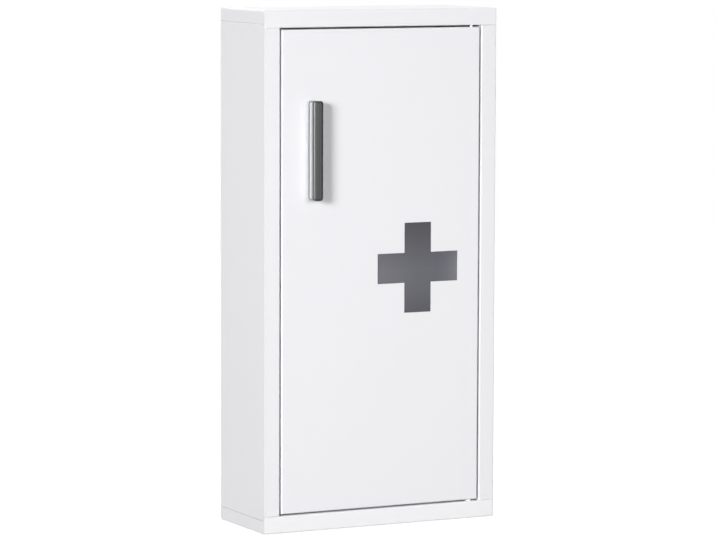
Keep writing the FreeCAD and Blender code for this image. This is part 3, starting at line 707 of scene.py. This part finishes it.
handle_screw_low, handle_screw_high, handle_screw_middle = node_box("handle_screws")
handle_head_radius = (handle_screw_high[0] - handle_screw_low[0]) / 2
handle_levels = (handle_screw_low[2] + handle_head_radius, handle_screw_high[2] - handle_head_radius)
handle_head_height = 2.4
handle_seat = handle_screw_high[1] - handle_head_height
handle_screw_set = screw_set("handle_screw_set",
                             [(handle_screw_middle[0], handle_screw_low[1], z) for z in handle_levels],
                             handle_seat, 2.0, handle_head_radius, handle_head_height)
finish_piece(handle_screw_set, zinc_finish, "door", "zinc_steel", "handle_screws")

catch_screw_low, catch_screw_high, catch_screw_middle = node_box("catch_screws")
catch_head_radius = (catch_screw_high[0] - catch_screw_low[0]) / 2
catch_levels = (catch_screw_low[2] + catch_head_radius, catch_screw_high[2] - catch_head_radius)
catch_head_height = 1.8
catch_seat = catch_screw_high[1] - catch_head_height
catch_screw_set = screw_set("catch_screw_set",
                            [(catch_screw_middle[0], catch_screw_low[1], z) for z in catch_levels],
                            catch_seat, 1.5, catch_head_radius, catch_head_height)
finish_piece(catch_screw_set, zinc_finish, "cabinet", "zinc_steel", "catch_screws")

# %% [markdown]
# ## Rubber buffers
# Two small rubber domes on the stop take up the door's blow. A dome is a profile turned round
# an axis: a short straight wall, then an arc that flattens towards the middle.

# %% Buffers
def dome(middle_x, middle_z, rear, front, radius, segments=48):
    """Rings of a domed buffer along Y, in millimetres.

    In words: the radius runs from nought over the rear face, up a short wall and round the
    dome, where depth follows the sine and radius the cosine of one angle.
    """
    turn = np.linspace(0, math.pi / 2, 14)
    wall = (rear - front) * 0.35
    radii = np.concatenate([[0, radius], radius * np.cos(turn)])
    depths = np.concatenate([[rear, rear], rear - wall - (rear - wall - front) * np.sin(turn)])
    angle = np.linspace(0, 2 * math.pi, segments, endpoint=False)
    x = radii[:, None] * np.cos(angle) + middle_x
    z = radii[:, None] * np.sin(angle) + middle_z
    y = np.broadcast_to(depths[:, None], x.shape)
    return np.stack([x, y, z], axis=-1)


bumper_low, bumper_high, bumper_middle = node_box("door_bumpers")
bumper_radius = (bumper_high[0] - bumper_low[0]) / 2
bumper_rings = [dome(bumper_middle[0], z, bumper_high[1], bumper_low[1], bumper_radius)
                for z in (bumper_low[2] + bumper_radius, bumper_high[2] - bumper_radius)]
bumper_faces = ring_faces(*bumper_rings[0].shape[:2])
bumper_points = np.concatenate([rings.reshape(-1, 3) for rings in bumper_rings])
buffer_domes = make_piece("buffer_domes", bumper_points,
                          np.concatenate([bumper_faces, bumper_faces + len(bumper_points) // 2]))
finish_piece(buffer_domes, rubber_finish, "cabinet", "bumper_rubber", "door_bumpers")

# %% [markdown]
# ## Pane clamps
# Four strips of plated steel hold the glass. Each one is bent twice, so that its foot lies on
# the door and its finger presses on the pane. A strip is a path with rounded corners, carried
# sideways into a sheet, and the Solidify modifier gives the sheet its thickness.

# %% Clamp surface
def rounded_path(corners, radius, per_bend=7):
    """A path of straight runs with a circular arc at each inner corner.

    In words: each arc starts and ends at a distance from the corner along the two runs, and
    its points are the quadratic mix of start, corner and end.
    """
    corners = np.asarray(corners, float)
    share = np.linspace(0, 1, per_bend)[:, None]
    parts = [corners[:1]]
    for before, corner, after in zip(corners, corners[1:], corners[2:]):
        start = corner + (before - corner) / np.linalg.norm(before - corner) * radius
        end = corner + (after - corner) / np.linalg.norm(after - corner) * radius
        parts.append((1 - share) ** 2 * start + 2 * share * (1 - share) * corner + share ** 2 * end)
    return np.concatenate(parts + [corners[-1:]])


def strip_faces(along, across):
    """Quads of an open grid, as one whole array."""
    first = np.arange(along - 1)[:, None] * across
    here = np.arange(across - 1)[None, :]
    quads = np.stack([first + here, first + here + 1, first + across + here + 1, first + across + here], axis=-1)
    return quads.reshape(-1, 4)


clamp_low, clamp_high, clamp_middle = node_box("pane_clamps")
clamp_sheet = 0.8
clamp_width = 16.0
foot_reach = (clamp_high[0] - clamp_low[0]) / 2
bend_line = foot_reach - 9.0 + clamp_sheet / 2
finger_reach = foot_reach - 9.0 - 7.0
foot_y = clamp_low[1] + clamp_sheet / 2
finger_y = clamp_high[1] - clamp_sheet / 2
clamp_path = rounded_path([(foot_reach, foot_y), (bend_line, foot_y), (bend_line, finger_y),
                           (finger_reach, finger_y)], 0.9)
widths = np.linspace(-clamp_width / 2, clamp_width / 2, 5)
clamp_points, clamp_faces = [], []
for quarter in range(4):
    out = np.repeat(clamp_path[:, 0], len(widths))
    y = np.repeat(clamp_path[:, 1], len(widths))
    side = np.tile(widths, len(clamp_path))
    cosine, sine = math.cos(quarter * math.pi / 2), math.sin(quarter * math.pi / 2)
    clamp_faces.append(strip_faces(len(clamp_path), len(widths)) + quarter * len(out))
    clamp_points.append(np.stack([clamp_middle[0] + out * cosine - side * sine, y,
                                  clamp_middle[2] + out * sine + side * cosine], axis=-1))
pane_clamp_set = make_piece("pane_clamp_set", np.concatenate(clamp_points), np.concatenate(clamp_faces), 60)
wall_modifier = pane_clamp_set.modifiers.new("sheet", "SOLIDIFY")
wall_modifier.thickness = clamp_sheet * MM
wall_modifier.offset = 0
edge_modifier = pane_clamp_set.modifiers.new("edges", "BEVEL")
edge_modifier.width = 0.12 * MM
edge_modifier.segments = 2
finish_piece(pane_clamp_set, zinc_finish, "door", "zinc_steel", "pane_clamps")

# %% [markdown]
# ## Spot welds
# A spot weld leaves a shallow round crater with a soft rim. Inside the cabinet they hold the
# slotted strips, and inside the door they hold the clamps. A crater is a disc whose height is a
# low ring, and many copies of it are laid out as one array.

# %% Weld craters
def weld_craters(places, normals, radius=2.6, rim=0.16, rings=8, segments=20):
    """Shallow craters on flat faces, in millimetres.

    In words: height over the face is the rim height times the sine of a share of the radius,
    squared, so it is nought in the middle and at the edge and highest in between.
    """
    share = np.linspace(0, 1, rings)
    angle = np.linspace(0, 2 * math.pi, segments, endpoint=False)
    u = (radius * share[:, None] * np.cos(angle)).ravel()
    v = (radius * share[:, None] * np.sin(angle)).ravel()
    height = np.repeat(rim * np.sin(math.pi * share ** 1.6) ** 2 + 0.012, segments)
    height[-segments:] = -0.02
    normals = np.asarray(normals, float)
    first = np.cross(normals, [0, 0, 1.0])
    level = np.linalg.norm(first, axis=1) < 0.5
    first[level] = (1, 0, 0)
    second = np.cross(normals, first)
    points = (np.asarray(places, float)[:, None] + u[None, :, None] * first[:, None]
              + v[None, :, None] * second[:, None] + height[None, :, None] * normals[:, None])
    faces = ring_faces(rings, segments)
    shifts = np.arange(len(points))[:, None, None] * rings * segments
    return points.reshape(-1, 3), (faces[None] + shifts).reshape(-1, 4)


foot_places, foot_normals = [], []
for name, side in (("shelf_standard_left_front", 1), ("shelf_standard_left_rear", 1),
                   ("shelf_standard_right_front", -1), ("shelf_standard_right_rear", -1)):
    low, high, middle = node_box(name)
    foot_x = (low[0] if side > 0 else high[0]) + side * 1.2
    for foot_line in (low[1] + 2.5, high[1] - 2.5):
        for level in np.linspace(low[2] + 20, high[2] - 20, 6):
            foot_places.append((foot_x, foot_line, level))
            foot_normals.append((side, 0, 0))
points, faces = weld_craters(foot_places, foot_normals, radius=2.2)
standard_welds = make_piece("standard_welds", points, faces, 60)
finish_piece(standard_welds, shelf_coat, "cabinet", "shelf_coat")

# %% Welds on the clamps' feet
clamp_places = [(clamp_middle[0] + (foot_reach - 4.4) * math.cos(turn), clamp_low[1] + clamp_sheet,
                 clamp_middle[2] + (foot_reach - 4.4) * math.sin(turn))
                for turn in np.arange(4) * math.pi / 2]
points, faces = weld_craters(clamp_places, [(0, 1, 0)] * 4)
clamp_welds = make_piece("clamp_welds", points, faces, 60)
finish_piece(clamp_welds, zinc_finish, "door", "zinc_steel")

# %% [markdown]
# ## Closing the scene
# The colours must come out as they are written, so the view transform is Standard.

# %% View
bpy.context.scene.view_settings.view_transform = "Standard"
